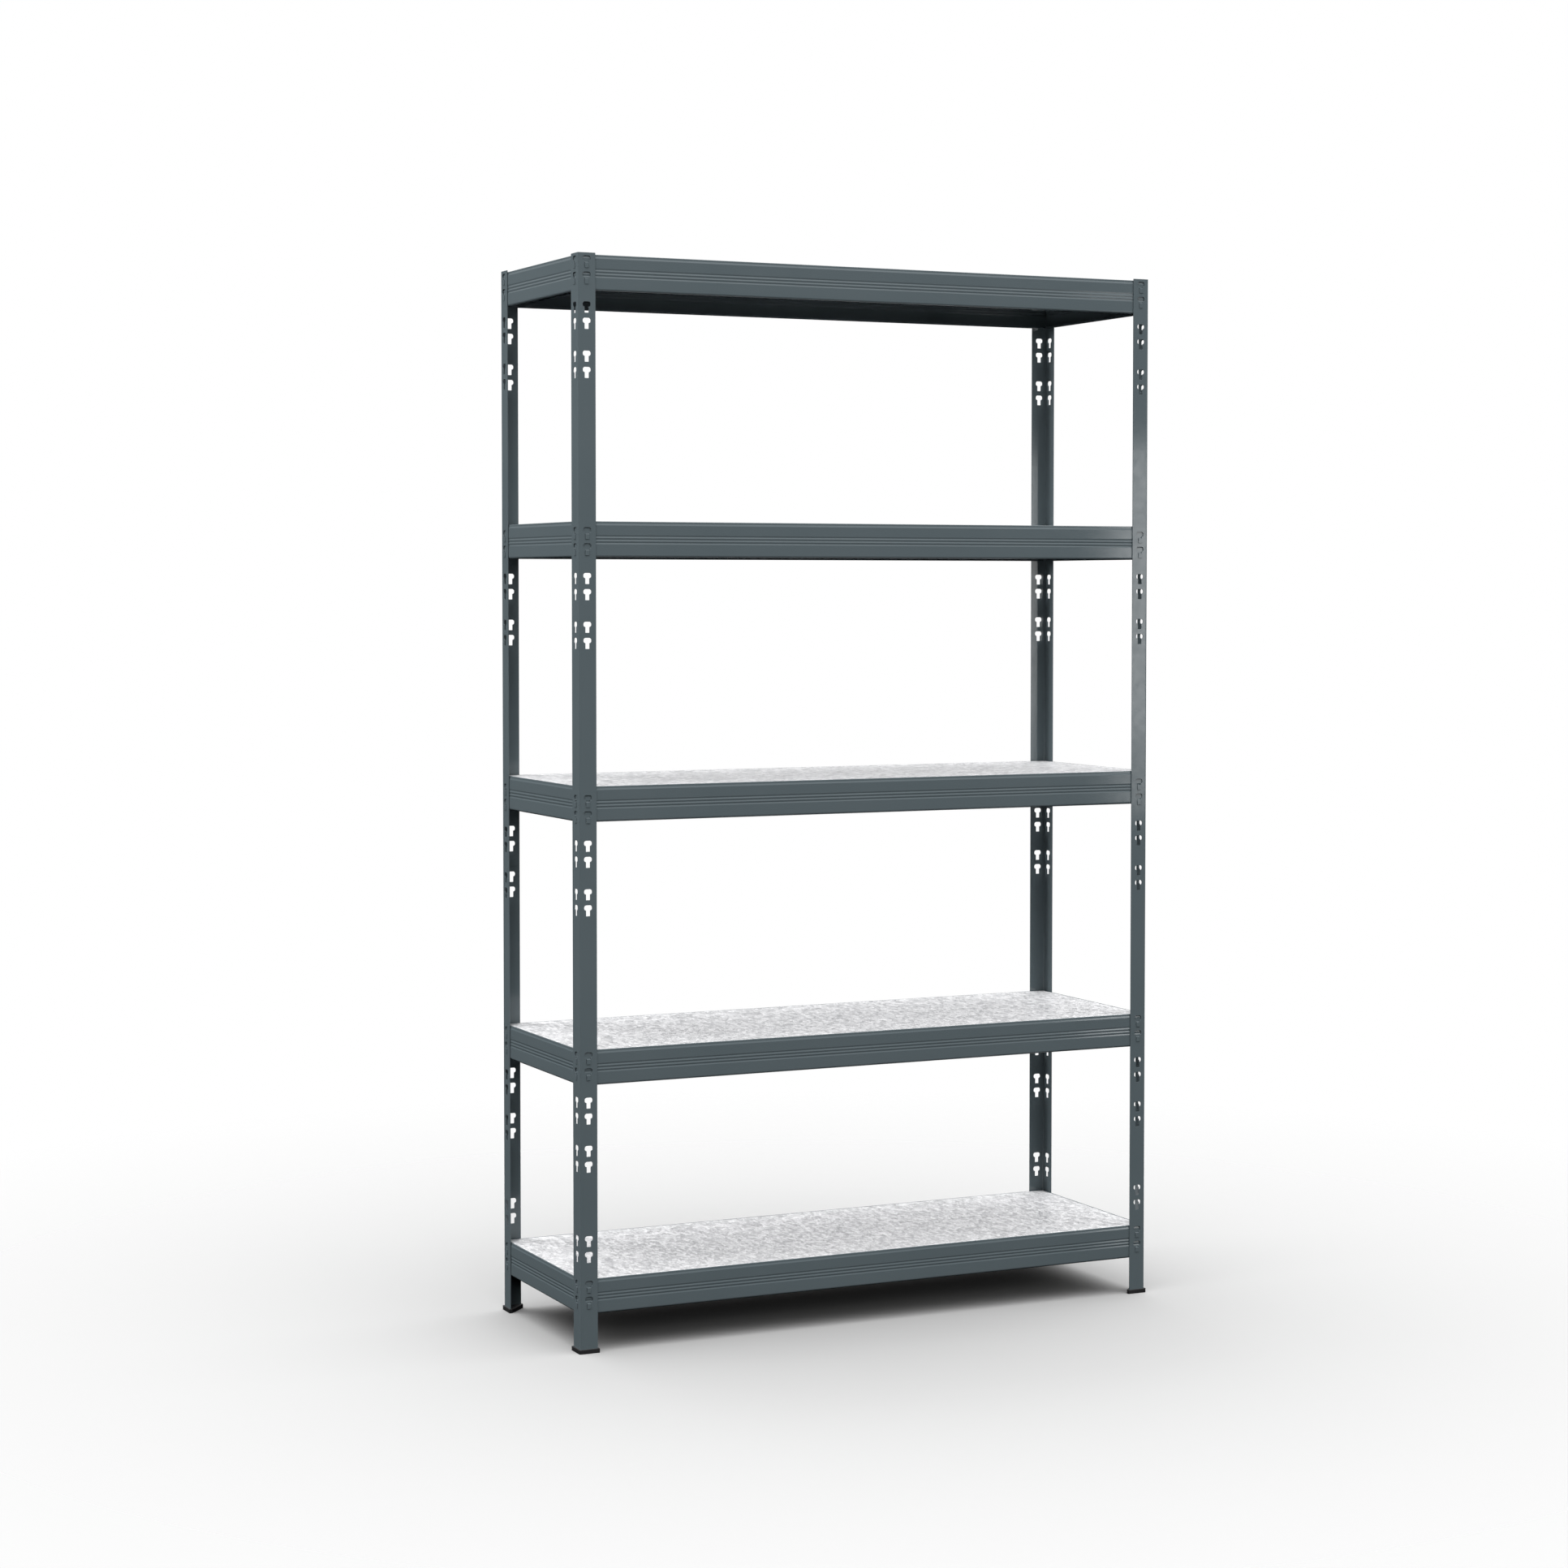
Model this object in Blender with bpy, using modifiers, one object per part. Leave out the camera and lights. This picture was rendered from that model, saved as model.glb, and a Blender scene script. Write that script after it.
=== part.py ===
"""Boltless steel shelving: four slotted angle posts on plastic feet, and five levels. Each level is
a ring of four ribbed beams, hooked into the posts' keyholes round a lift-out sheet steel panel.

Metres, +Z up. The origin is on the floor under the middle of the rack, and the front faces -Y.
"""
import math

import bmesh
import bpy
from mathutils import Matrix

# Overall size, over the posts' outer faces and from the floor to the posts' top
WIDTH = 1.200
DEPTH = 0.400
HEIGHT = 2.000
GAP = 0.0003                # clearance between pieces that touch

# Levels, by the height of their beams' top edge
TOP_LEVEL_DROP = 0.003      # from the posts' top down to the top level
BOTTOM_LEVEL = 0.136
LOWEST_BAY = 0.420          # from the bottom level up to the next
UPPER_BAYS = 3              # equal bays above that

# Posts: equal angle
POST_FLANGE = 0.034
POST_SHEET = 0.0015
POST_BEND = 0.003           # outer radius of the bend
BEND_STEPS = 3

# Keyholes: a wide head for entry over a narrow stem
SLOT_HEIGHT = 0.020
SLOT_HEAD_WIDTH = 0.0154
SLOT_HEAD_HEIGHT = 0.0103
SLOT_SHOULDER = 0.0035      # height of the sloped shoulder within the head
SLOT_STEM_WIDTH = 0.008
SLOT_PITCH = 0.0292         # between the two keyholes of a pair
USED_TO_FREE = 0.0826       # from a pair in use to the next free pair
FREE_TO_FREE = 0.0882       # from one free pair to the next
# Where each level's pair of keyholes is, bottom up: the gap from the beams' top edge down to the
# upper keyhole, or from their bottom edge up to the lower keyhole's seat
PAIR_PLACES = (("top", 0.003), ("top", 0.004), ("bottom", 0.0), ("bottom", 0.005), ("top", 0.0025))

# Beams: roll-formed, with a hemmed top lip, a ledge for the panel and a turned-in bottom flange
BEAM_HEIGHT = 0.065
BEAM_SHEET = 0.0012
BEAM_DEPTH = 0.015          # from the web's face to the flanges' free edge
BEAM_BEND = 0.004           # outer radius at the bottom edge
BAND_HEIGHT = 0.0045        # set-back band along the top edge
BAND_RECESS = 0.0009
BAND_SLOPE = 0.002
LEDGE_DROP = 0.008          # from the top edge to the ledge
GROOVES = 3
FIRST_GROOVE = 0.0273       # from the top edge to the bottom of the first groove
GROOVE_PITCH = 0.0058
GROOVE_HALF_WIDTH = 0.0024
GROOVE_DEPTH = 0.0012
END_GAP = 0.0009            # between a beam's end and the lip of the beam round the corner
MITRE_GAP = 0.0005

# Hooks: two at each beam end, through the keyholes' stems and down over the post's face
HOOK_HEIGHT = 0.008
HOOK_LIP_SHEET = 0.0008
HOOK_LIP_DROP = 0.002

# Panels and the stiffening channel under each
PANEL_SHEET = 0.0008
CHANNEL_SHEET = 0.0008
CHANNEL_WIDTH = 0.050
CHANNEL_FLANGE = 0.010
CHANNEL_DEPTH = 0.016
CHANNEL_END_GAP = 0.004     # from the side beams' ledges

# Feet
FOOT_BASE = 0.003           # plastic under the post
FOOT_HEIGHT = 0.008
FOOT_WALL = 0.0032          # plastic outside the post
FOOT_LIP = 0.0020           # plastic inside the post

# Derived sizes
POST_BOTTOM = FOOT_BASE + GAP
SLOT_CENTRE = POST_FLANGE / 2
WEB_INSET = POST_SHEET + GAP
LIP_INSET = WEB_INSET + BAND_RECESS + 2 * BEAM_SHEET
BEAM_END = LIP_INSET + END_GAP
PANEL_INSET = LIP_INSET + GAP
PANEL_RIM = LEDGE_DROP - GAP

# Colours
PAINT_GREY = (0.098, 0.125, 0.135, 1.0)
ZINC = (0.70, 0.71, 0.72, 1.0)
PLASTIC_BLACK = (0.012, 0.012, 0.013, 1.0)

# Frames for flat outlines: the outline's x and y, then the direction it is extruded in
SECTION_FRAME = Matrix(((0, 0, 1, 0), (1, 0, 0, 0), (0, 1, 0, 0), (0, 0, 0, 1)))      # y, z along x
FRONT_FRAME = Matrix(((1, 0, 0, 0), (0, 0, -1, 0), (0, 1, 0, 0), (0, 0, 0, 1)))       # x, z along -y
SIDE_FRAME = Matrix.Rotation(math.radians(90), 4, "Z") @ FRONT_FRAME                  # y, z along x
PLAN_FRAME = Matrix.Identity(4)                                                       # x, y along z


def clear_scene():
    for old in list(bpy.data.objects):
        bpy.data.objects.remove(old, do_unlink=True)


def new_collection(name):
    collection = bpy.data.collections.new(name)
    bpy.context.scene.collection.children.link(collection)
    return collection


def make_material(name, colour, roughness, metallic):
    material = bpy.data.materials.new(name)
    material.use_nodes = True
    shader = material.node_tree.nodes["Principled BSDF"]
    shader.inputs["Base Color"].default_value = colour
    shader.inputs["Roughness"].default_value = roughness
    shader.inputs["Metallic"].default_value = metallic
    return material


def level_heights():
    """Heights of the levels' top edges, from the bottom up."""
    second = BOTTOM_LEVEL + LOWEST_BAY
    bay = (HEIGHT - TOP_LEVEL_DROP - second) / UPPER_BAYS
    return [BOTTOM_LEVEL] + [second + bay * index for index in range(UPPER_BAYS + 1)]


def arc(centre, radius, start, end, steps):
    """Points along an arc, with its angles in degrees."""
    angles = [math.radians(start + (end - start) * step / steps) for step in range(steps + 1)]
    return [(centre[0] + radius * math.cos(a), centre[1] + radius * math.sin(a)) for a in angles]


def evaluated_mesh(shape):
    return bpy.data.meshes.new_from_object(shape.evaluated_get(bpy.context.evaluated_depsgraph_get()))


def prism(name, outline, start, end, frame):
    """A solid with a flat outline in the frame's plane, from start to end along its third axis."""
    curve = bpy.data.curves.new(name, "CURVE")
    curve.dimensions = "2D"
    curve.fill_mode = "BOTH"
    curve.extrude = (end - start) / 2
    spline = curve.splines.new("POLY")
    spline.points.add(len(outline) - 1)
    for point, (x, y) in zip(spline.points, outline):
        point.co = (x, y, 0, 1)
    spline.use_cyclic_u = True
    drawn = bpy.data.objects.new(name + "_outline", curve)
    workshop.objects.link(drawn)
    mesh = evaluated_mesh(drawn)
    mesh.transform(frame @ Matrix.Translation((0, 0, (start + end) / 2)))
    bpy.data.objects.remove(drawn, do_unlink=True)
    return closed_mesh_object(name, [mesh])


def closed_mesh_object(name, meshes):
    """One object from meshes, with doubled points welded and its faces turned outwards."""
    form = bmesh.new()
    for mesh in meshes:
        form.from_mesh(mesh)
    bmesh.ops.remove_doubles(form, verts=form.verts, dist=1e-6)
    bmesh.ops.recalc_face_normals(form, faces=form.faces)
    joined = bpy.data.meshes.new(name)
    form.to_mesh(joined)
    form.free()
    shape = bpy.data.objects.new(name, joined)
    workshop.objects.link(shape)
    return shape


def join(name, shapes):
    """One object holding several separate bodies, used as a single cutter or addition."""
    joined = closed_mesh_object(name, [shape.data for shape in shapes])
    for shape in shapes:
        bpy.data.objects.remove(shape, do_unlink=True)
    joined.hide_render = True
    joined.display_type = "WIRE"
    return joined


def combine(shape, tool, operation):
    boolean = shape.modifiers.new(tool.name, "BOOLEAN")
    boolean.operation = operation
    boolean.solver = "EXACT"
    boolean.object = tool


def finished_mesh(shape):
    """The object's mesh with its modifiers applied; the object itself goes."""
    mesh = evaluated_mesh(shape)
    bpy.data.objects.remove(shape, do_unlink=True)
    return mesh


def place(name, mesh, material, parent, location, turn=0):
    """A named piece, turned about +Z by an angle in degrees."""
    piece = bpy.data.objects.new(name, mesh)
    piece.location = location
    piece.rotation_euler = (0, 0, math.radians(turn))
    piece.parent = parent
    if not mesh.materials:
        mesh.materials.append(material)
    shelving.objects.link(piece)
    return piece


def place_empty(name, parent, height):
    empty = bpy.data.objects.new(name, None)
    empty.location = (0, 0, height)
    empty.parent = parent
    shelving.objects.link(empty)
    return empty


def angle_outline(flange, sheet, bend, grow=0.0):
    """An equal angle with its outer corner at the origin and its legs along +X and +Y."""
    outer = bend + grow
    centre = (bend, bend)
    return [
        (flange + grow, -grow),
        (flange + grow, sheet + grow),
        (sheet + grow, sheet + grow),
        (sheet + grow, flange + grow),
        (-grow, flange + grow),
    ] + arc(centre, outer, 180, 270, BEND_STEPS)


def keyhole_outline(top):
    """A keyhole in a post's flange, as distance from the post's corner and height."""
    head = SLOT_HEAD_WIDTH / 2
    stem = SLOT_STEM_WIDTH / 2
    half = [
        (head, top),
        (head, top - SLOT_HEAD_HEIGHT + SLOT_SHOULDER),
        (stem, top - SLOT_HEAD_HEIGHT),
        (stem, top - SLOT_HEIGHT),
    ]
    right = [(SLOT_CENTRE + x, z) for x, z in half]
    return right + [(SLOT_CENTRE - x, z) for x, z in reversed(half)]


def used_slots(height, place):
    """Tops of the two keyholes that a level hooks into, from its beams' top edge and pair's place."""
    edge, gap = place
    if edge == "top":
        upper = height - gap
    else:
        upper = height - BEAM_HEIGHT + gap + SLOT_HEIGHT + SLOT_PITCH
    return [upper, upper - SLOT_PITCH]


def keyhole_tops():
    """Tops of every keyhole up a flange: two free pairs under each level but the lowest, which
    has a single free pair above it."""
    tops = []
    heights = level_heights()
    for height, place in zip(heights, PAIR_PLACES):
        used = used_slots(height, place)
        tops += used
        if height == heights[0]:
            tops += [top + USED_TO_FREE for top in used]
        else:
            tops += [top - USED_TO_FREE for top in used]
            tops += [top - USED_TO_FREE - FREE_TO_FREE for top in used]
    return tops


def post_mesh():
    """One post, with its outer corner on the Z axis and its flanges along +X and +Y."""
    section = angle_outline(POST_FLANGE, POST_SHEET, POST_BEND)
    post = prism("post", section, POST_BOTTOM, HEIGHT, PLAN_FRAME)
    reach = 2 * POST_SHEET
    for flange, frame in (("x_flange", FRONT_FRAME), ("y_flange", SIDE_FRAME)):
        holes = [prism("hole", keyhole_outline(top), -reach, reach, frame) for top in keyhole_tops()]
        combine(post, join(flange + "_keyholes", holes), "DIFFERENCE")
    return finished_mesh(post)


def groove_points(face):
    """The grooves down the web: from its face to the groove's bottom and back, for each."""
    points = []
    for index in range(GROOVES):
        centre = FIRST_GROOVE + index * GROOVE_PITCH
        points += [
            (face, -centre + GROOVE_HALF_WIDTH),
            (face + GROOVE_DEPTH, -centre),
            (face, -centre - GROOVE_HALF_WIDTH),
        ]
    return points


def beam_outline():
    """The beam's section, as distance inwards from the posts' face and height from the top edge."""
    face = WEB_INSET
    back = face + BEAM_SHEET
    band = face + BAND_RECESS
    free_edge = face + BEAM_DEPTH
    bend = (face + BEAM_BEND, BEAM_BEND - BEAM_HEIGHT)
    outside = [(band, 0), (band, -BAND_HEIGHT), (face, -BAND_HEIGHT - BAND_SLOPE)]
    outside += groove_points(face)
    outside += arc(bend, BEAM_BEND, 180, 270, BEND_STEPS)
    flange = [(free_edge, -BEAM_HEIGHT), (free_edge, BEAM_SHEET - BEAM_HEIGHT)]
    inside = arc(bend, BEAM_BEND - BEAM_SHEET, 270, 180, BEND_STEPS)
    inside += list(reversed(groove_points(back)))
    ledge = [
        (back, -LEDGE_DROP - BEAM_SHEET),
        (free_edge, -LEDGE_DROP - BEAM_SHEET),
        (free_edge, -LEDGE_DROP),
        (LIP_INSET, -LEDGE_DROP),
        (LIP_INSET, 0),
    ]
    return outside + flange + inside + ledge


def hook_outline(slot_top):
    """A hook's side: from inside the web, out over the stem's lower edge, and down the post's face."""
    seat = slot_top - SLOT_HEIGHT
    root = WEB_INSET + BEAM_SHEET / 2
    return [
        (root, seat + GAP),
        (-GAP, seat + GAP),
        (-GAP, seat - HOOK_LIP_DROP),
        (-GAP - HOOK_LIP_SHEET, seat - HOOK_LIP_DROP),
        (-GAP - HOOK_LIP_SHEET, seat + HOOK_HEIGHT),
        (root, seat + HOOK_HEIGHT),
    ]


def mitre_block(name, span, side):
    """A turned block whose face cuts a beam's flanges at 45 degrees, to meet the next beam's."""
    size = 4 * BEAM_DEPTH
    shift = size / 2 / math.sqrt(2)
    bpy.ops.mesh.primitive_cube_add(size=size, rotation=(0, 0, math.radians(45)))
    block = bpy.context.active_object
    block.location = (side * (span / 2 - MITRE_GAP + shift), shift, -BEAM_HEIGHT / 2)
    block.scale.z = 2 * BEAM_HEIGHT / size
    bpy.context.view_layer.update()
    block.data.transform(block.matrix_world)
    mesh = block.data
    bpy.data.objects.remove(block, do_unlink=True)
    return closed_mesh_object(name, [mesh])


def beam_mesh(span, pair_place):
    """A beam between two posts, centred in its length, with its top edge at z = 0."""
    half = span / 2
    beam = prism("beam", beam_outline(), BEAM_END - half, half - BEAM_END, SECTION_FRAME)
    ends = [mitre_block("mitre", span, side) for side in (-1, 1)]
    combine(beam, join("mitres", ends), "DIFFERENCE")
    half_hook = SLOT_STEM_WIDTH / 2 - GAP
    hooks = []
    for centre in (SLOT_CENTRE - half, half - SLOT_CENTRE):
        for slot_top in used_slots(0, pair_place):
            side = hook_outline(slot_top)
            hooks.append(prism("hook", side, centre - half_hook, centre + half_hook, SECTION_FRAME))
    combine(beam, join("hooks", hooks), "UNION")
    return finished_mesh(beam)


def panel_mesh():
    """A shallow tray, upside down: a flat sheet with its edges turned down on to the ledges."""
    form = bmesh.new()
    size = Matrix.Diagonal((WIDTH - 2 * PANEL_INSET, DEPTH - 2 * PANEL_INSET, PANEL_RIM, 1))
    bmesh.ops.create_cube(form, size=1, matrix=Matrix.Translation((0, 0, -PANEL_RIM / 2)) @ size)
    underside = [face for face in form.faces if face.normal.z < -0.5]
    bmesh.ops.delete(form, geom=underside, context="FACES_ONLY")
    mesh = bpy.data.meshes.new("panel")
    form.to_mesh(mesh)
    form.free()
    panel = bpy.data.objects.new("panel", mesh)
    workshop.objects.link(panel)
    sheet = panel.modifiers.new("sheet", "SOLIDIFY")
    sheet.thickness = PANEL_SHEET
    sheet.offset = -1
    sheet.use_even_offset = True
    return finished_mesh(panel)


def channel_mesh():
    """A hat-shaped channel along the middle of the panel's underside."""
    top = -PANEL_SHEET - GAP
    bottom = top - CHANNEL_DEPTH
    edge = CHANNEL_WIDTH / 2
    wall = edge - CHANNEL_FLANGE
    right = [
        (wall - CHANNEL_SHEET, top),
        (edge, top),
        (edge, top - CHANNEL_SHEET),
        (wall, top - CHANNEL_SHEET),
        (wall, bottom),
    ]
    inner = [(wall - CHANNEL_SHEET, bottom + CHANNEL_SHEET)]
    outline = inner + right
    outline += [(-y, z) for y, z in reversed(outline)]
    half = WIDTH / 2 - WEB_INSET - BEAM_DEPTH - CHANNEL_END_GAP
    return finished_mesh(prism("channel", outline, -half, half, SECTION_FRAME))


def foot_mesh():
    """A plastic cap under an angle post, with a pocket for the post and a web across its inside."""
    pocket_inside = POST_SHEET + GAP
    leg = POST_FLANGE + FOOT_WALL
    inside = pocket_inside + FOOT_LIP
    outline = [(leg, -FOOT_WALL), (leg, inside), (inside, leg), (-FOOT_WALL, leg)]
    outline += arc((POST_BEND, POST_BEND), POST_BEND + FOOT_WALL, 180, 270, BEND_STEPS)
    foot = prism("foot", outline, 0, FOOT_HEIGHT, PLAN_FRAME)
    pocket = prism("pocket", angle_outline(POST_FLANGE, POST_SHEET, POST_BEND, GAP),
                   FOOT_BASE, 2 * FOOT_HEIGHT, PLAN_FRAME)
    combine(foot, join("post_pocket", [pocket]), "DIFFERENCE")
    return finished_mesh(foot)


clear_scene()
shelving = new_collection("boltless_steel_shelving")
workshop = new_collection("cutters")
paint = make_material("grey_paint", PAINT_GREY, 0.45, 0.0)
zinc = make_material("galvanised_steel", ZINC, 0.40, 0.7)
plastic = make_material("black_plastic", PLASTIC_BLACK, 0.55, 0.0)

rack = place_empty("rack", None, 0)
CORNERS = {
    "front_left": ((-WIDTH / 2, -DEPTH / 2, 0), 0),
    "front_right": ((WIDTH / 2, -DEPTH / 2, 0), 90),
    "back_right": ((WIDTH / 2, DEPTH / 2, 0), 180),
    "back_left": ((-WIDTH / 2, DEPTH / 2, 0), 270),
}
post = post_mesh()
foot = foot_mesh()
for corner, (location, turn) in CORNERS.items():
    place("post_" + corner, post, paint, rack, location, turn)
    place("foot_" + corner, foot, plastic, rack, location, turn)

panel = panel_mesh()
channel = channel_mesh()
for number, (height, pair_place) in enumerate(zip(level_heights(), PAIR_PLACES), start=1):
    level = place_empty(f"level_{number}", rack, height)
    long_beam = beam_mesh(WIDTH, pair_place)
    side_beam = beam_mesh(DEPTH, pair_place)
    place(f"front_beam_{number}", long_beam, paint, level, (0, -DEPTH / 2, 0), 0)
    place(f"back_beam_{number}", long_beam, paint, level, (0, DEPTH / 2, 0), 180)
    place(f"left_beam_{number}", side_beam, paint, level, (-WIDTH / 2, 0, 0), -90)
    place(f"right_beam_{number}", side_beam, paint, level, (WIDTH / 2, 0, 0), 90)
    tray = place_empty(f"panel_lift_{number}", level, 0)
    place(f"shelf_panel_{number}", panel, zinc, tray, (0, 0, 0))
    place(f"panel_stiffener_{number}", channel, zinc, tray, (0, 0, 0))
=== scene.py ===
"""The looks of a boltless steel shelving rack: finely formed posts, beams, panels, stiffeners and
feet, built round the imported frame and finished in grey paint, zinc and black plastic.

Metres, in the frame's own axes: +Z up, -Y the front, the origin on the floor under the rack.
"""

import math

import bmesh
import bpy
from mathutils import Matrix, Vector
from mathutils.geometry import delaunay_2d_cdt


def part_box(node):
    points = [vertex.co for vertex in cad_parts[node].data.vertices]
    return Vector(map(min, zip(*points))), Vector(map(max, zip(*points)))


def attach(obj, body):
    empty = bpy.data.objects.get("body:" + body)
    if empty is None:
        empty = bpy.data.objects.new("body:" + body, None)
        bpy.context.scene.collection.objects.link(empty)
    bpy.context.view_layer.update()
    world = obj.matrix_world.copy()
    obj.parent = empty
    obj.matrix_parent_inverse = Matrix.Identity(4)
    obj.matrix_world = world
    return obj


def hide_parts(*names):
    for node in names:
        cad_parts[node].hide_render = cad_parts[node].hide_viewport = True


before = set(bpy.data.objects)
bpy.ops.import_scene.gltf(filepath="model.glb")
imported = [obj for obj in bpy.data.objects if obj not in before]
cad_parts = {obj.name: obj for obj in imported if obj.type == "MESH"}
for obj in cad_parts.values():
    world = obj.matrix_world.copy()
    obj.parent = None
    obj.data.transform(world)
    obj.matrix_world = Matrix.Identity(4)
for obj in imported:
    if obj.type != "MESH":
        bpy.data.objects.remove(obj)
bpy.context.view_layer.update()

# The rack's main sizes, from the frame
post_low, post_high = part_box("post_front_left")
HALF_WIDTH = -post_low.x
HALF_DEPTH = -post_low.y
POST_BOTTOM = post_low.z
POST_TOP = post_high.z
POST_FLANGE = post_high.x - post_low.x
LEVELS = range(1, 6)
LEVEL_TOPS = {number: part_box(f"shelf_panel_{number}")[1].z for number in LEVELS}

# Posts
POST_SHEET = 0.0015
POST_BEND = 0.003           # outer radius
POST_BEND_STEPS = 8
POST_END_CORNER = 0.0008
EDGE_ROUND = 0.00025        # rounding of every punched or cut edge

# Keyholes
SLOT_HEIGHT = 0.020
SLOT_HEAD_WIDTH = 0.0154
SLOT_HEAD_HEIGHT = 0.0103
SLOT_STEM_WIDTH = 0.008
SLOT_PITCH = 0.0292
USED_TO_FREE = 0.0826       # from a pair that holds a level to the free pair next to it
FREE_TO_FREE = 0.0882
HEAD_CORNER = 0.0042
SHOULDER_RISE = 0.0019      # of the shoulder's outer corner over the head's lower end
SHOULDER_ROUND = 0.0036
NECK_RISE = 0.0008          # of the shoulder's inner corner, where the stem begins
NECK_ROUND = 0.0010
STEM_ROUND = 0.0009
# Where each level's pair is: the gap from the beams' top edge down to the upper keyhole, or from
# their bottom edge up to the lower keyhole's seat
PAIR_PLACES = {
    1: ("top", 0.003), 2: ("top", 0.004), 3: ("bottom", 0.0), 4: ("bottom", 0.005),
    5: ("top", 0.0025),
}

# Beams
GAP = 0.0003                # kept between pieces that would touch
BEAM_HEIGHT = 0.065
BEAM_SHEET = 0.00115        # the hem's two plies of this stay apart in the frame's solid lip
BEAM_DEPTH = 0.015
BEAM_BEND = 0.004           # outer radius at the bottom edge
BAND_HEIGHT = 0.0040
BAND_RECESS = 0.0009
BAND_SLOPE = 0.0032
BAND_BEND = 0.0010
LIP_DEPTH = 0.0024
LEDGE_DROP = 0.008
LEDGE_BEND = 0.0008
GROOVES = 3
FIRST_GROOVE = 0.0273       # below the top edge
GROOVE_PITCH = 0.0058
GROOVE_HALF_WIDTH = 0.0026
GROOVE_DEPTH = 0.0007
GROOVE_EDGE = 0.0008
GROOVE_BEND = 0.0010
WEB_INSET = POST_SHEET + GAP
LIP_INSET = WEB_INSET + BAND_RECESS + LIP_DEPTH
END_GAP = 0.0009            # between a beam's end and the lip of the beam round the corner
BEAM_END = LIP_INSET + END_GAP
MITRE_GAP = 0.0005
HOOK_HEIGHT = 0.008
HOOK_LIP_SHEET = 0.0008
HOOK_LIP_DROP = 0.002
HOOK_EDGE_ROUND = 0.0002
HOOK_HEEL_ROUND = 0.0003
HOOK_TOE_ROUND = 0.0004
HOOK_HEAD_ROUND = 0.0007

# Panels, stiffeners and feet
PANEL_SHEET = 0.0008
PANEL_FOLD = 0.0013         # outer radius of the turned-down edges
CHANNEL_SHEET = 0.0008
CHANNEL_FLANGE = 0.010
CHANNEL_BEND = 0.0014
FOOT_BASE = 0.003
FOOT_WALL = 0.0032
FOOT_LIP = 0.0020
FOOT_CORNER = 0.004         # at the post's outer corner
FOOT_END_CORNER = 0.0012
FOOT_INNER_CORNER = 0.0008
FOOT_EDGE_ROUND = 0.0007

# Finishes: the darkest and lightest colour of each
PAINT_COLOURS = ((0.091, 0.115, 0.126), (0.098, 0.122, 0.133))
ZINC_COLOURS = ((0.44, 0.445, 0.458), (0.80, 0.80, 0.81))
PLASTIC_COLOURS = ((0.010, 0.010, 0.011), (0.018, 0.018, 0.019))
GRAIN_STRETCH = (1, 0.5, 1)     # the spangle is twice as long along the sheet's depth
GRAIN_WANDER = (0.012, 0.012, 0.012)
SPANGLE_SCALES = (140, 330)

# Setting
ZENITH = 5.8                # strength of the dome of light overhead
DOME_FALLOFF = 2.3          # how fast it fades towards the horizon
FLOOR_GREY = 0.43
FLOOR_NEAR = 0.75           # the floor fades into the white backdrop between these distances
FLOOR_FAR = 2.6
FLOOR_REACH = 40
FLAG_GAP = 0.16             # from the posts' top up to the flag
LENS = 72.892
LENS_SHIFT = -0.045
CAMERA_PLACE = (-2.7142, -5.5459, 1.3972)
CAMERA_DIP = 2.274          # degrees below level
CAMERA_TURN = -25.276
LAMPS_AIM = (0, 0, 1.2)

ARC_STEP = math.radians(15)     # angle between points on every arc
SMOOTH_UNDER = math.radians(35)

# Frames for flat outlines: where their x, y and the direction of extrusion go
ALONG_X = Matrix(((0, 0, 1, 0), (1, 0, 0, 0), (0, 1, 0, 0), (0, 0, 0, 1)))
ALONG_Z = Matrix.Identity(4)

CORNER_TURNS = {"front_left": 0, "front_right": 90, "back_right": 180, "back_left": 270}


# Shapes ---------------------------------------------------------------------------------------

def rounded(corners, closed=True):
    """Points of an outline or open line whose corners (x, y, radius) are rounded off by arcs."""
    points = []
    last = len(corners) - 1
    for index, (x, y, radius) in enumerate(corners):
        corner = Vector((x, y))
        if radius == 0 or (not closed and index in (0, last)):
            points.append(corner)
            continue
        before = (Vector(corners[index - 1][:2]) - corner).normalized()
        after = (Vector(corners[(index + 1) % len(corners)][:2]) - corner).normalized()
        half = before.angle(after) / 2
        centre = corner + (before + after).normalized() * radius / math.sin(half)
        spoke = corner + before * radius / math.tan(half) - centre
        turn = math.copysign(math.pi - 2 * half, before.x * after.y - before.y * after.x)
        steps = max(2, round(abs(turn) / ARC_STEP))
        for step in range(steps + 1):
            points.append(centre + Matrix.Rotation(-turn * step / steps, 2) @ spoke)
    return points


def sheet_section(path, sheet):
    """Outline of a folded sheet of even thickness whose middle follows an open line."""
    sides = ([], [])
    for index, point in enumerate(path):
        steps = []
        if index > 0:
            steps.append((point - path[index - 1]).normalized())
        if index < len(path) - 1:
            steps.append((path[index + 1] - point).normalized())
        along = sum(steps, Vector((0, 0))).normalized()
        across = Vector((-along.y, along.x)) * (sheet / 2) / along.dot(steps[0])
        sides[0].append(point + across)
        sides[1].append(point - across)
    return sides[0] + sides[1][::-1]


def mesh_from(form, name):
    bmesh.ops.recalc_face_normals(form, faces=form.faces)
    mesh = bpy.data.meshes.new(name)
    form.to_mesh(mesh)
    form.free()
    return mesh


def add_object(name, mesh):
    piece = bpy.data.objects.new(name, mesh)
    bpy.context.scene.collection.objects.link(piece)
    return piece


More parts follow.
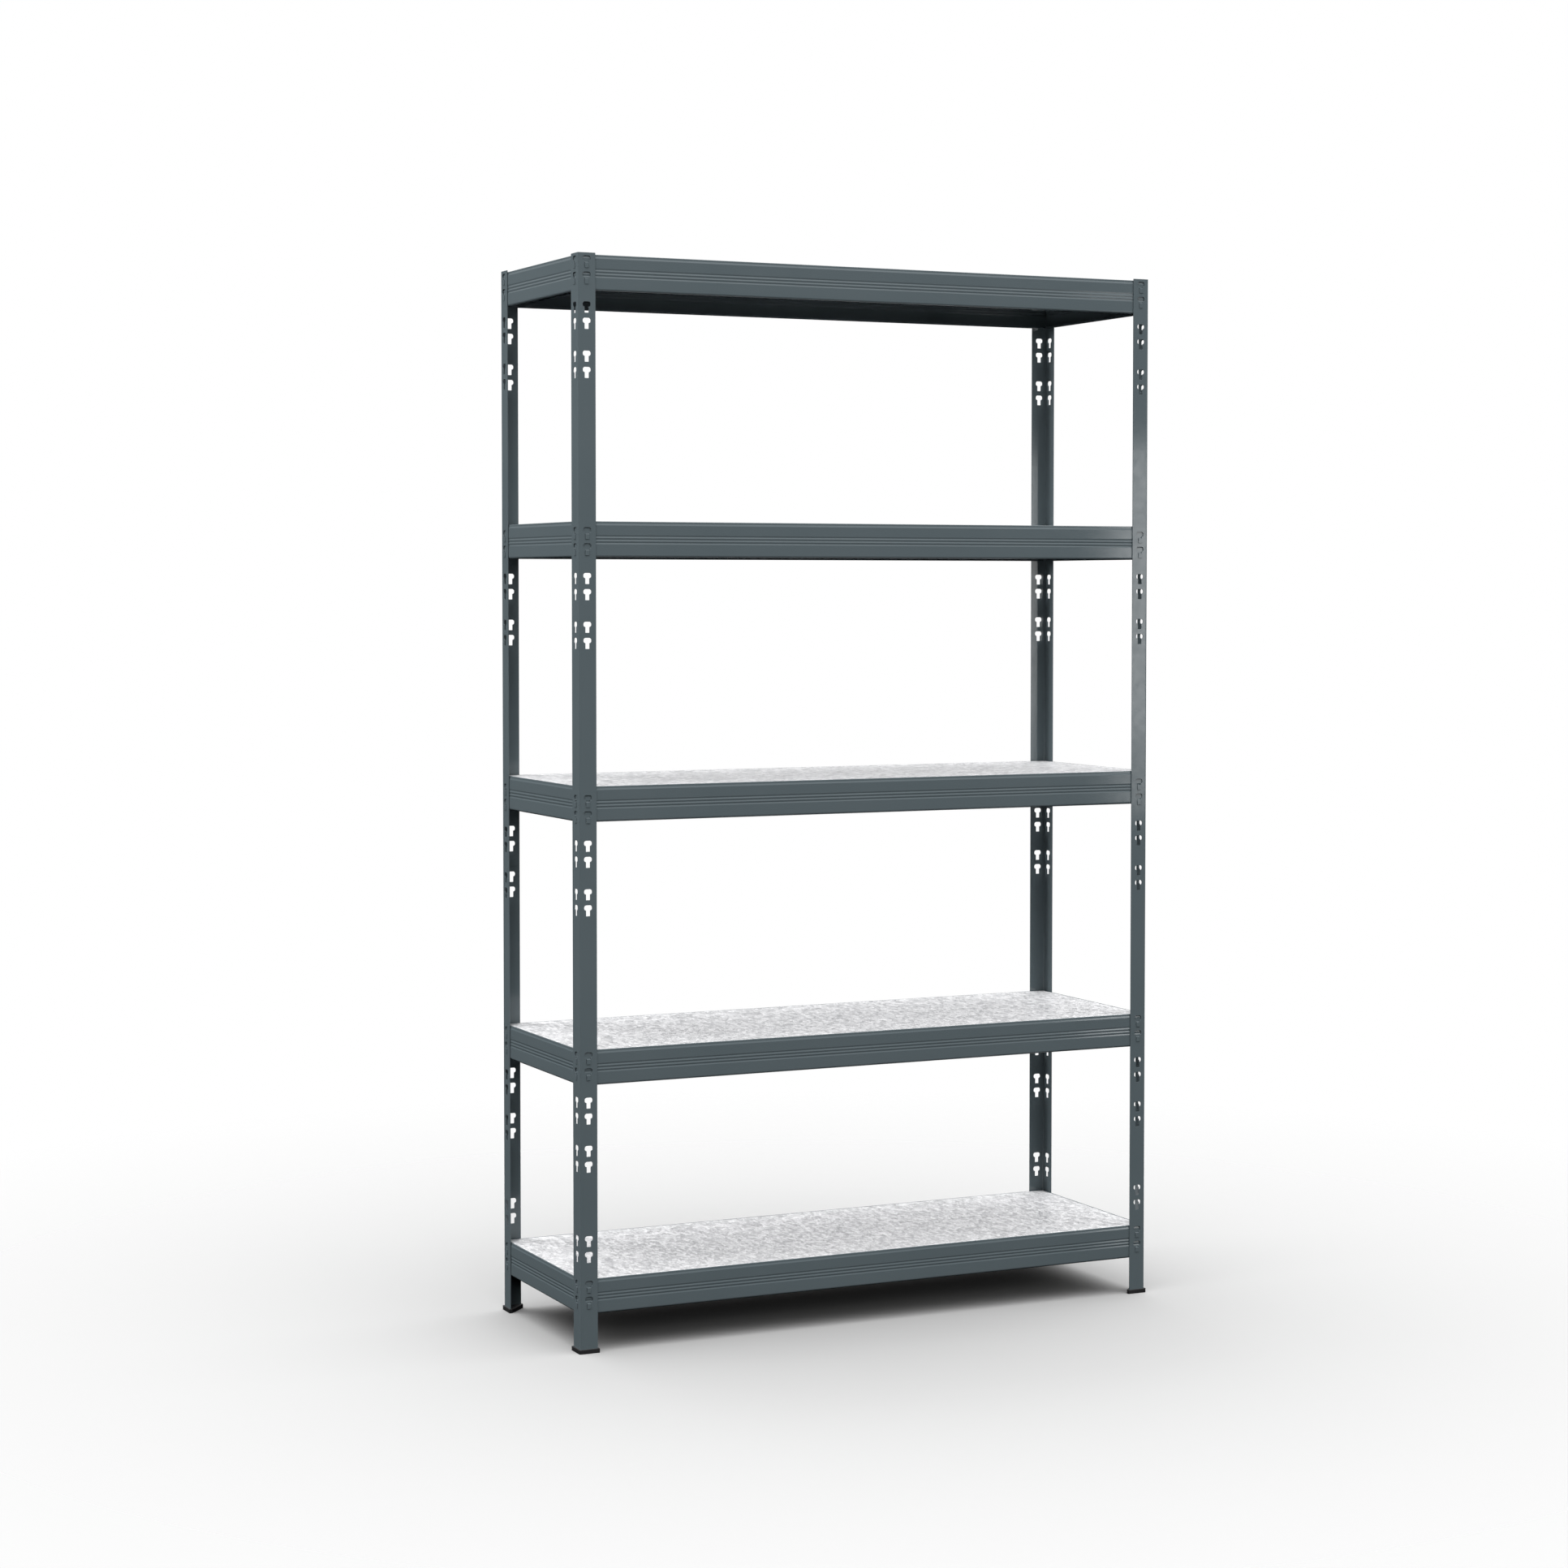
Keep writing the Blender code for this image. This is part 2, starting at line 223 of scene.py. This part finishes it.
def prism(name, outline, start, end, placing):
    """A solid with a flat outline, from start to end along the placing's third axis."""
    form = bmesh.new()
    rings = [[form.verts.new((x, y, depth)) for x, y in outline] for depth in (start, end)]
    form.faces.new(rings[0])
    form.faces.new(rings[1])
    for index in range(len(outline)):
        after = (index + 1) % len(outline)
        form.faces.new((rings[0][index], rings[0][after], rings[1][after], rings[1][index]))
    bmesh.ops.transform(form, matrix=placing, verts=form.verts)
    return add_object(name, mesh_from(form, name))


def rim(form, loop, side, thickness, edge):
    """Rings of points round a plate's cut edge, rounded over from its upper to its lower face."""
    turns = [math.radians(angle) for angle in (0, 30, 60, 90)]
    half = thickness / 2
    arc = [(edge * (1 - math.cos(turn)), half - edge * (1 - math.sin(turn))) for turn in turns]
    steps = arc[::-1] + [(inset, -height) for inset, height in arc]
    rings = []
    for inset, height in steps:
        rings.append([form.verts.new((*point, height)) for point in shrunk(loop, side * inset)])
    for upper, lower in zip(rings, rings[1:]):
        for index in range(len(loop)):
            after = (index + 1) % len(loop)
            form.faces.new((upper[index], upper[after], lower[after], lower[index]))
    return rings[0], rings[-1]


def fill(form, loops):
    """Flat faces inside the first loop of points and outside the others."""
    corners = [vert for loop in loops for vert in loop]
    flat = [vert.co.to_2d() for vert in corners]
    borders = []
    start = 0
    for loop in loops:
        borders.append(list(range(start, start + len(loop))))
        start += len(loop)
    omit_holes = 5
    same_point = 1e-7
    made = delaunay_2d_cdt(flat, [], borders, omit_holes, same_point)
    faces, origins = made[2], made[3]
    for face in faces:
        form.faces.new([corners[origins[index][0]] for index in face])


def shrunk(loop, inset):
    """A closed outline moved sideways towards its inside."""
    area = sum(a.x * b.y - b.x * a.y for a, b in zip(loop, loop[1:] + loop[:1]))
    inset = math.copysign(inset, area * inset)
    points = []
    for index, point in enumerate(loop):
        before = (point - loop[index - 1]).normalized()
        after = (loop[(index + 1) % len(loop)] - point).normalized()
        along = (before + after).normalized()
        points.append(point + Vector((-along.y, along.x)) * inset / along.dot(before))
    return points


def finished(piece):
    """The piece's mesh with its modifiers applied; the piece itself goes."""
    evaluated = piece.evaluated_get(bpy.context.evaluated_depsgraph_get())
    mesh = bpy.data.meshes.new_from_object(evaluated)
    bpy.data.objects.remove(piece, do_unlink=True)
    return mesh


def joined(name, pieces):
    """One object with several separate bodies, for a boolean."""
    form = bmesh.new()
    for piece in pieces:
        form.from_mesh(finished(piece))
    return add_object(name, mesh_from(form, name))


def combined(piece, tool, operation):
    """The piece's mesh after one boolean with a tool, which is then removed."""
    boolean = piece.modifiers.new("combine", "BOOLEAN")
    boolean.operation = operation
    boolean.solver = "EXACT"
    boolean.object = tool
    mesh = finished(piece)
    bpy.data.objects.remove(tool, do_unlink=True)
    return mesh


def round_edges(piece, width, segments=2, angle=60):
    bevel = piece.modifiers.new("round_edges", "BEVEL")
    bevel.width = width
    bevel.segments = segments
    bevel.limit_method = "ANGLE"
    bevel.angle_limit = math.radians(angle)
    bevel.harden_normals = False


def finish_piece(piece, material, body, node):
    """Smooths and paints a piece, and puts it in the place of its CAD node."""
    mesh = piece.data
    mesh.materials.clear()
    mesh.materials.append(material)
    mesh.shade_smooth()
    mesh.set_sharp_from_angle(angle=SMOOTH_UNDER)
    weighting = piece.modifiers.new("even_faces", "WEIGHTED_NORMAL")
    weighting.keep_sharp = True
    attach(piece, body)
    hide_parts(node)


# Posts ----------------------------------------------------------------------------------------

def used_keyholes(top, place):
    """Tops of the two keyholes that a level hooks into."""
    edge, gap = place
    upper = top - gap if edge == "top" else top - BEAM_HEIGHT + gap + SLOT_HEIGHT + SLOT_PITCH
    return [upper, upper - SLOT_PITCH]


def keyhole_tops():
    tops = []
    for number in LEVELS:
        used = used_keyholes(LEVEL_TOPS[number], PAIR_PLACES[number])
        tops += used
        if number == 1:
            tops += [top + USED_TO_FREE for top in used]
        else:
            tops += [top - USED_TO_FREE for top in used]
            tops += [top - USED_TO_FREE - FREE_TO_FREE for top in used]
    return tops


def keyhole(centre, top):
    """A keyhole with a rounded head that runs into its stem."""
    head = SLOT_HEAD_WIDTH / 2
    stem = SLOT_STEM_WIDTH / 2
    shoulder = top - SLOT_HEAD_HEIGHT
    half = [
        (head, top, HEAD_CORNER),
        (head, shoulder + SHOULDER_RISE, SHOULDER_ROUND),
        (stem, shoulder + NECK_RISE, NECK_ROUND),
        (stem, top - SLOT_HEIGHT, STEM_ROUND),
    ]
    right = [(centre + x, y, radius) for x, y, radius in half]
    left = [(centre - x, y, radius) for x, y, radius in half[::-1]]
    return rounded(right + left)


def post_mesh():
    """A strip with keyholes, folded about its centre line into an angle with its outer corner at
    the origin and its flanges along +X and +Y."""
    neutral = POST_BEND - POST_SHEET / 2
    half_arc = neutral * math.pi / 4
    half = POST_FLANGE - POST_BEND + half_arc
    centre = half_arc + POST_FLANGE / 2 - POST_BEND
    bends = POST_BEND_STEPS
    across = [half_arc * (2 * step / bends - 1) for step in range(bends + 1)]
    ends = [(x, POST_BOTTOM, POST_END_CORNER) for x in (-half, half)]
    foot = [ends[0]] + [(x, POST_BOTTOM, 0) for x in across] + [ends[1]]
    head = [(x, POST_TOP, radius) for x, _, radius in foot[::-1]]
    outline = rounded(foot + head)
    form = bmesh.new()
    rims = [rim(form, outline, 1, POST_SHEET, EDGE_ROUND)]
    holes = {}
    for side in (-1, 1):
        loops = [keyhole(side * centre, top) for top in keyhole_tops()]
        holes[side] = [rim(form, loop, -1, POST_SHEET, EDGE_ROUND) for loop in loops]
    corner = (len(outline) - 2 * len(across)) // 4      # points in each rounded corner
    for face in (0, 1):
        border = rims[0][face]
        foot_row = border[corner:corner + len(across)]
        head_row = border[-corner - len(across):-corner][::-1]
        for step in range(bends):
            after = step + 1
            form.faces.new((foot_row[step], foot_row[after], head_row[after], head_row[step]))
        right = border[corner + bends:-corner - bends]
        left = border[:corner + 1] + border[-corner - 1:]
        fill(form, [right] + [hole[face] for hole in holes[1]])
        fill(form, [left] + [hole[face] for hole in holes[-1]])
    for vert in form.verts:
        sideways, height, depth = vert.co
        flat = abs(sideways) - half_arc
        if flat > 0:
            run = (POST_BEND + flat, POST_SHEET / 2 + depth)
            x, y = run if sideways > 0 else run[::-1]
        else:
            angle = math.radians(225) + sideways / neutral
            x = POST_BEND + (neutral - depth) * math.cos(angle)
            y = POST_BEND + (neutral - depth) * math.sin(angle)
        vert.co = (x, y, height)
    return mesh_from(form, "post")


def corner_place(corner):
    turn = Matrix.Rotation(math.radians(CORNER_TURNS[corner]), 4, "Z")
    x = HALF_WIDTH if corner.endswith("right") else -HALF_WIDTH
    y = HALF_DEPTH if corner.startswith("back") else -HALF_DEPTH
    return Matrix.Translation((x, y, 0)) @ turn


def make_posts(paint):
    mesh = post_mesh()
    for corner in CORNER_TURNS:
        post = add_object(f"post_{corner}_formed", mesh)
        post.matrix_world = corner_place(corner)
        finish_piece(post, paint, "rack", f"post_{corner}")


# Feet -----------------------------------------------------------------------------------------

def foot_mesh():
    low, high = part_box("foot_front_left")
    leg = high.x + HALF_WIDTH
    inside = POST_SHEET + GAP + FOOT_LIP
    corners = [
        (-FOOT_WALL, -FOOT_WALL, FOOT_CORNER), (leg, -FOOT_WALL, FOOT_END_CORNER),
        (leg, inside, FOOT_INNER_CORNER), (inside, leg, FOOT_INNER_CORNER),
        (-FOOT_WALL, leg, FOOT_END_CORNER),
    ]
    foot = prism("foot", rounded(corners), 0, high.z, ALONG_Z)
    wall = POST_SHEET + GAP
    reach = POST_FLANGE + GAP
    pocket = [
        (-GAP, -GAP, POST_BEND), (reach, -GAP, 0), (reach, wall, 0),
        (wall, wall, 0), (wall, reach, 0), (-GAP, reach, 0),
    ]
    tool = prism("pocket", rounded(pocket), FOOT_BASE, 2 * high.z, ALONG_Z)
    foot = add_object("foot", combined(foot, tool, "DIFFERENCE"))
    round_edges(foot, FOOT_EDGE_ROUND, segments=3, angle=50)
    return finished(foot)


def make_feet(plastic):
    mesh = foot_mesh()
    for corner in CORNER_TURNS:
        foot = add_object(f"foot_{corner}_moulded", mesh)
        foot.matrix_world = corner_place(corner)
        finish_piece(foot, plastic, "rack", f"foot_{corner}")


# Beams ----------------------------------------------------------------------------------------

def beam_section():
    """The beam's section, as distance in from the posts' face and height from the top edge: ledge,
    hemmed lip, set-back band, grooved web and bottom flange, all one folded sheet."""
    web = WEB_INSET + BEAM_SHEET / 2
    edge = WEB_INSET + BEAM_DEPTH
    outer_ply = web + BAND_RECESS
    inner_ply = LIP_INSET - BEAM_SHEET / 2
    hem = (inner_ply - outer_ply) / 2 * 0.999       # a hair less, so that the arcs don't meet
    top = -BEAM_SHEET / 2
    bottom = BEAM_SHEET / 2 - BEAM_HEIGHT
    ledge = -LEDGE_DROP - BEAM_SHEET / 2
    path = [
        (edge, ledge, 0), (inner_ply, ledge, LEDGE_BEND),
        (inner_ply, top, hem), (outer_ply, top, hem),
        (outer_ply, -BAND_HEIGHT, BAND_BEND), (web, -BAND_HEIGHT - BAND_SLOPE, BAND_BEND),
    ]
    for index in range(GROOVES):
        centre = FIRST_GROOVE + index * GROOVE_PITCH
        path += [
            (web, -centre + GROOVE_HALF_WIDTH, GROOVE_EDGE),
            (web + GROOVE_DEPTH, -centre, GROOVE_BEND),
            (web, -centre - GROOVE_HALF_WIDTH, GROOVE_EDGE),
        ]
    path += [(web, bottom, BEAM_BEND - BEAM_SHEET / 2), (edge, bottom, 0)]
    return sheet_section(rounded(path, closed=False), BEAM_SHEET)


def hook(name, centre, slot_top):
    """A punched tab: out through a keyhole's stem, resting on its lower edge and over the face."""
    seat = slot_top - SLOT_HEIGHT
    root = WEB_INSET + BEAM_SHEET / 2
    face = -GAP - HOOK_LIP_SHEET
    side = [
        (root, seat + GAP, 0), (-GAP, seat + GAP, HOOK_EDGE_ROUND),
        (-GAP, seat - HOOK_LIP_DROP, HOOK_HEEL_ROUND),
        (face, seat - HOOK_LIP_DROP, HOOK_TOE_ROUND),
        (face, seat + HOOK_HEIGHT, HOOK_HEAD_ROUND), (root, seat + HOOK_HEIGHT, 0),
    ]
    half = SLOT_STEM_WIDTH / 2 - GAP
    tab = prism(name, rounded(side), centre - half, centre + half, ALONG_X)
    round_edges(tab, HOOK_EDGE_ROUND)
    return tab


def mitre_block(name, span, side):
    """A turned block that cuts the flanges at 45 degrees, to meet the next beam's."""
    size = 4 * BEAM_DEPTH
    shift = size / 2 / math.sqrt(2)
    place = Matrix.Translation((side * (span - MITRE_GAP + shift), shift, -BEAM_HEIGHT / 2))
    turned = Matrix.Rotation(math.radians(45), 4, "Z")
    shape = Matrix.Diagonal((size, size, 2 * BEAM_HEIGHT, 1))
    form = bmesh.new()
    bmesh.ops.create_cube(form, size=1, matrix=place @ turned @ shape)
    return add_object(name, mesh_from(form, name))


def beam_mesh(half_span, place):
    """A beam between two posts, centred in its length, with its top edge at z = 0."""
    half = half_span - BEAM_END
    beam = prism("beam", beam_section(), -half, half, ALONG_X)
    mitres = joined("mitres", [mitre_block("mitre", half_span, side) for side in (-1, 1)])
    beam = add_object("beam", combined(beam, mitres, "DIFFERENCE"))
    reach = half_span - POST_FLANGE / 2
    hooks = [hook("hook", x, top) for x in (-reach, reach) for top in used_keyholes(0, place)]
    return combined(beam, joined("hooks", hooks), "UNION")


def make_beams(paint):
    for number in LEVELS:
        long_beam = beam_mesh(HALF_WIDTH, PAIR_PLACES[number])
        side_beam = beam_mesh(HALF_DEPTH, PAIR_PLACES[number])
        places = {
            "front": (long_beam, (0, -HALF_DEPTH), 0),
            "back": (long_beam, (0, HALF_DEPTH), 180),
            "left": (side_beam, (-HALF_WIDTH, 0), -90),
            "right": (side_beam, (HALF_WIDTH, 0), 90),
        }
        for side, (mesh, (x, y), turn) in places.items():
            beam = add_object(f"{side}_beam_{number}_formed", mesh)
            beam.location = (x, y, LEVEL_TOPS[number])
            beam.rotation_euler.z = math.radians(turn)
            finish_piece(beam, paint, f"level_{number}", f"{side}_beam_{number}")


# Panels and stiffeners ------------------------------------------------------------------------

def panel_mesh():
    """A sheet with its edges folded down, centred, with its face at z = 0."""
    low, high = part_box("shelf_panel_1")
    size = high - low
    form = bmesh.new()
    place = Matrix.Translation((0, 0, -size.z / 2)) @ Matrix.Diagonal((*size, 1))
    bmesh.ops.create_cube(form, size=1, matrix=place)
    underside = [face for face in form.faces if face.normal.z < -0.5]
    bmesh.ops.delete(form, geom=underside, context="FACES_ONLY")
    mesh = bpy.data.meshes.new("panel")
    form.to_mesh(mesh)
    form.free()
    panel = add_object("panel", mesh)
    round_edges(panel, PANEL_FOLD, segments=4)
    sheet = panel.modifiers.new("sheet", "SOLIDIFY")
    sheet.thickness = PANEL_SHEET
    sheet.offset = -1
    sheet.use_even_offset = True
    return finished(panel)


def channel_mesh():
    """The stiffening channel, centred under the panel's face at z = 0."""
    low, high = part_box("panel_stiffener_1")
    top = high.z - LEVEL_TOPS[1] - CHANNEL_SHEET / 2
    bottom = low.z - LEVEL_TOPS[1] + CHANNEL_SHEET / 2
    wall = high.y - CHANNEL_FLANGE
    half = [(high.y, top, 0), (wall, top, CHANNEL_BEND), (wall, bottom, CHANNEL_BEND)]
    path = half + [(-y, z, radius) for y, z, radius in half[::-1]]
    section = sheet_section(rounded(path, closed=False), CHANNEL_SHEET)
    return finished(prism("channel", section, low.x, high.x, ALONG_X))


def make_panels(zinc):
    panel = panel_mesh()
    channel = channel_mesh()
    for number in LEVELS:
        parts = {"shelf_panel": (panel, "folded"), "panel_stiffener": (channel, "rolled")}
        for node, (mesh, word) in parts.items():
            piece = add_object(f"{node}_{number}_{word}", mesh)
            piece.location.z = LEVEL_TOPS[number]
            finish_piece(piece, zinc, f"panel_{number}", f"{node}_{number}")


# Materials ------------------------------------------------------------------------------------

class Surface:
    """A material built from nodes, with its Principled shader at hand."""

    def __init__(self, name, **values):
        self.material = bpy.data.materials.new(name)
        self.material.use_nodes = True
        self.tree = self.material.node_tree
        self.shader = self.tree.nodes["Principled BSDF"]
        for socket, value in values.items():
            self.shader.inputs[socket.replace("_", " ")].default_value = value
        self.place = self.node("ShaderNodeTexCoord").outputs["Object"]

    def node(self, kind, inputs=None, **settings):
        made = self.tree.nodes.new(kind)
        for name, value in settings.items():
            setattr(made, name, value)
        for socket, value in (inputs or {}).items():
            if isinstance(value, bpy.types.NodeSocket):
                self.tree.links.new(value, made.inputs[socket])
            else:
                made.inputs[socket].default_value = value
        return made

    def noise(self, scale, detail=2.0):
        sockets = {"Vector": self.place, "Scale": scale, "Detail": detail}
        return self.node("ShaderNodeTexNoise", sockets).outputs["Fac"]

    def vector(self, operation, first, second):
        sockets = {0: first, 1: second}
        made = self.node("ShaderNodeVectorMath", sockets, operation=operation)
        return made.outputs["Vector"]

    def ranged(self, value, low, high, start=0.3, end=0.7):
        sockets = {
            "Value": value, "From Min": start, "From Max": end, "To Min": low, "To Max": high,
        }
        return self.node("ShaderNodeMapRange", sockets).outputs["Result"]

    def blended(self, factor, dark, light):
        mix = self.node("ShaderNodeMix", data_type="RGBA")
        self.tree.links.new(factor, mix.inputs["Factor"])
        for name, colour in (("A", dark), ("B", light)):
            socket = next(s for s in mix.inputs if s.name == name and s.type == "RGBA")
            if isinstance(colour, bpy.types.NodeSocket):
                self.tree.links.new(colour, socket)
            else:
                socket.default_value = (*colour, 1)
        return next(s for s in mix.outputs if s.type == "RGBA")

    def bump(self, height, strength, distance):
        sockets = {"Height": height, "Strength": strength, "Distance": distance}
        self.shade("Normal", self.node("ShaderNodeBump", sockets).outputs["Normal"])

    def shade(self, socket, value):
        self.tree.links.new(value, self.shader.inputs[socket])


def grey_paint():
    """Anthracite powder coat: even colour with a faint drift, and a fine orange peel."""
    paint = Surface("grey_powder_coat")
    drift = paint.ranged(paint.noise(5, detail=3), low=0, high=1)
    paint.shade("Base Color", paint.blended(drift, *PAINT_COLOURS))
    paint.shade("Roughness", paint.ranged(paint.noise(60), low=0.08, high=0.12))
    paint.bump(paint.noise(700), strength=0.03, distance=0.0002)
    return paint.material


def zinc():
    """Galvanised sheet: a pale, fine spangle of crystals, drawn out along the sheet's depth."""
    coat = Surface("galvanised_spangle", Metallic=0.35)
    grain = coat.vector("MULTIPLY", coat.place, GRAIN_STRETCH)
    wander = coat.node("ShaderNodeTexNoise", {"Vector": grain, "Scale": 90, "Detail": 3})
    bent = coat.vector("MULTIPLY", wander.outputs["Color"], GRAIN_WANDER)
    place = coat.vector("ADD", grain, bent)
    crystals = []
    for scale in SPANGLE_SCALES:
        cells = coat.node("ShaderNodeTexVoronoi", {"Vector": place, "Scale": scale})
        split = coat.node("ShaderNodeSeparateColor", {"Color": cells.outputs["Color"]})
        crystals.append(split.outputs["Red"])
    both = coat.node("ShaderNodeMath", {0: crystals[0], 1: crystals[1]}, operation="ADD")
    spangle = coat.ranged(both.outputs["Value"], low=0, high=1, start=0.2, end=1.8)
    coat.shade("Base Color", coat.blended(spangle, *ZINC_COLOURS))
    coat.shade("Roughness", coat.ranged(spangle, low=0.32, high=0.50, start=0, end=1))
    coat.bump(spangle, strength=0.10, distance=0.0002)
    return coat.material


def black_plastic():
    """Moulded plastic with a fine, dry grain."""
    plastic = Surface("black_moulded_plastic")
    cloud = plastic.ranged(plastic.noise(30), low=0, high=1)
    plastic.shade("Base Color", plastic.blended(cloud, *PLASTIC_COLOURS))
    plastic.shade("Roughness", plastic.ranged(plastic.noise(300), low=0.45, high=0.62))
    plastic.bump(plastic.noise(1600), strength=0.20, distance=0.0003)
    return plastic.material


# Setting --------------------------------------------------------------------------------------

def flat_square(name, reach):
    form = bmesh.new()
    bmesh.ops.create_grid(form, x_segments=1, y_segments=1, size=reach)
    return add_object(name, mesh_from(form, name))


def make_floor():
    """A pale floor that takes the rack's shadow but throws no light back up at it."""
    floor = flat_square("floor", FLOOR_REACH)
    floor.visible_diffuse = False
    floor.visible_glossy = False
    grey = (FLOOR_GREY, FLOOR_GREY, FLOOR_GREY, 1)
    pale = Surface("pale_floor", Roughness=1.0, Specular_IOR_Level=0, Base_Color=grey)
    length = pale.node("ShaderNodeVectorMath", {0: pale.place}, operation="LENGTH")
    distance = length.outputs["Value"]
    pale.shade("Alpha", pale.ranged(distance, low=1, high=0, start=FLOOR_NEAR, end=FLOOR_FAR))
    floor.data.materials.append(pale.material)
    return floor


def make_flag():
    """A flag held over the rack, out of sight, that keeps the overhead light off the top panel."""
    flag = flat_square("flag", 1)
    flag.scale = (HALF_WIDTH, HALF_DEPTH, 1)
    flag.location = (0, 0, POST_TOP + FLAG_GAP)
    flag.visible_camera = False
    flag.visible_glossy = False
    black = Surface("flag_cloth", Roughness=1.0, Base_Color=(0.02, 0.02, 0.02, 1))
    flag.data.materials.append(black.material)


def make_world():
    """Plain white behind the rack, and a dome of light that is brightest overhead."""
    world = bpy.data.worlds.new("studio")
    bpy.context.scene.world = world
    world.use_nodes = True
    tree = world.node_tree
    place = tree.nodes.new("ShaderNodeTexCoord")
    split = tree.nodes.new("ShaderNodeSeparateXYZ")
    tree.links.new(place.outputs["Generated"], split.inputs[0])
    height = split.outputs["Z"]
    for operation, value in (("MAXIMUM", 0), ("POWER", DOME_FALLOFF), ("MULTIPLY", ZENITH)):
        step = tree.nodes.new("ShaderNodeMath")
        step.operation = operation
        step.inputs[1].default_value = value
        tree.links.new(height, step.inputs[0])
        height = step.outputs["Value"]
    backdrop = tree.nodes["Background"]
    backdrop.inputs["Color"].default_value = (1, 1, 1, 1)
    dome = tree.nodes.new("ShaderNodeBackground")
    tree.links.new(height, dome.inputs["Strength"])
    path = tree.nodes.new("ShaderNodeLightPath")
    mix = tree.nodes.new("ShaderNodeMixShader")
    tree.links.new(path.outputs["Is Camera Ray"], mix.inputs[0])
    tree.links.new(dome.outputs[0], mix.inputs[1])
    tree.links.new(backdrop.outputs[0], mix.inputs[2])
    tree.links.new(mix.outputs[0], tree.nodes["World Output"].inputs["Surface"])


def all_but(piece):
    """A collection that, given to a light, has it shine on everything except the piece."""
    spared = bpy.data.collections.new(f"all_but_{piece.name}")
    spared.objects.link(piece)
    spared.collection_objects[0].light_linking.link_state = "EXCLUDE"
    return spared


def add_softbox(name, place, size, power, aim=LAMPS_AIM, lit=None, mirrored=False):
    """A soft lamp, out of the camera's sight, that lights all or only what its collection says."""
    light = bpy.data.lights.new(name, "AREA")
    light.shape = "RECTANGLE"
    light.size, light.size_y = size
    light.energy = power
    lamp = bpy.data.objects.new(name, light)
    bpy.context.scene.collection.objects.link(lamp)
    lamp.visible_camera = False
    lamp.visible_glossy = mirrored
    lamp.light_linking.receiver_collection = lit
    lamp.location = place
    lamp.rotation_euler = (Vector(aim) - Vector(place)).to_track_quat("-Z", "Y").to_euler()


def make_camera():
    lens = bpy.data.cameras.new("view")
    lens.lens = LENS
    lens.sensor_width = 36
    lens.shift_y = LENS_SHIFT
    camera = bpy.data.objects.new("view", lens)
    bpy.context.scene.collection.objects.link(camera)
    camera.location = CAMERA_PLACE
    camera.rotation_euler = (math.radians(90 - CAMERA_DIP), 0, math.radians(CAMERA_TURN))
    bpy.context.scene.camera = camera


paint = grey_paint()
make_posts(paint)
make_beams(paint)
make_panels(zinc())
make_feet(black_plastic())
rack_only = all_but(make_floor())
make_flag()
make_world()
add_softbox("front_left", place=(-3.2, -2.4, 3.2), size=(2, 2), power=60, lit=rack_only)
add_softbox("front_right", place=(3.0, -2.6, 3.2), size=(2, 2), power=53, lit=rack_only)
add_softbox("front", place=(-0.5, -6.0, 2.2), size=(4, 2), power=48)
add_softbox("back_left", place=(-4.0, 3.0, 3.2), size=(2, 2.5), power=180, lit=rack_only)
# Two narrow strips, one over the other, that show as reflections down the front right post
for name, height, length, power in (("strip", 1.39, 0.86, 2.1), ("strip_low", 0.84, 0.24, 0.35)):
    add_softbox(
        name, place=(2.32, -3.0, height), size=(0.17, length), power=power,
        aim=(0.58, -0.2, height), lit=rack_only, mirrored=True,
    )
make_camera()
bpy.context.scene.view_settings.view_transform = "Standard"
bpy.context.scene.view_settings.look = "None"
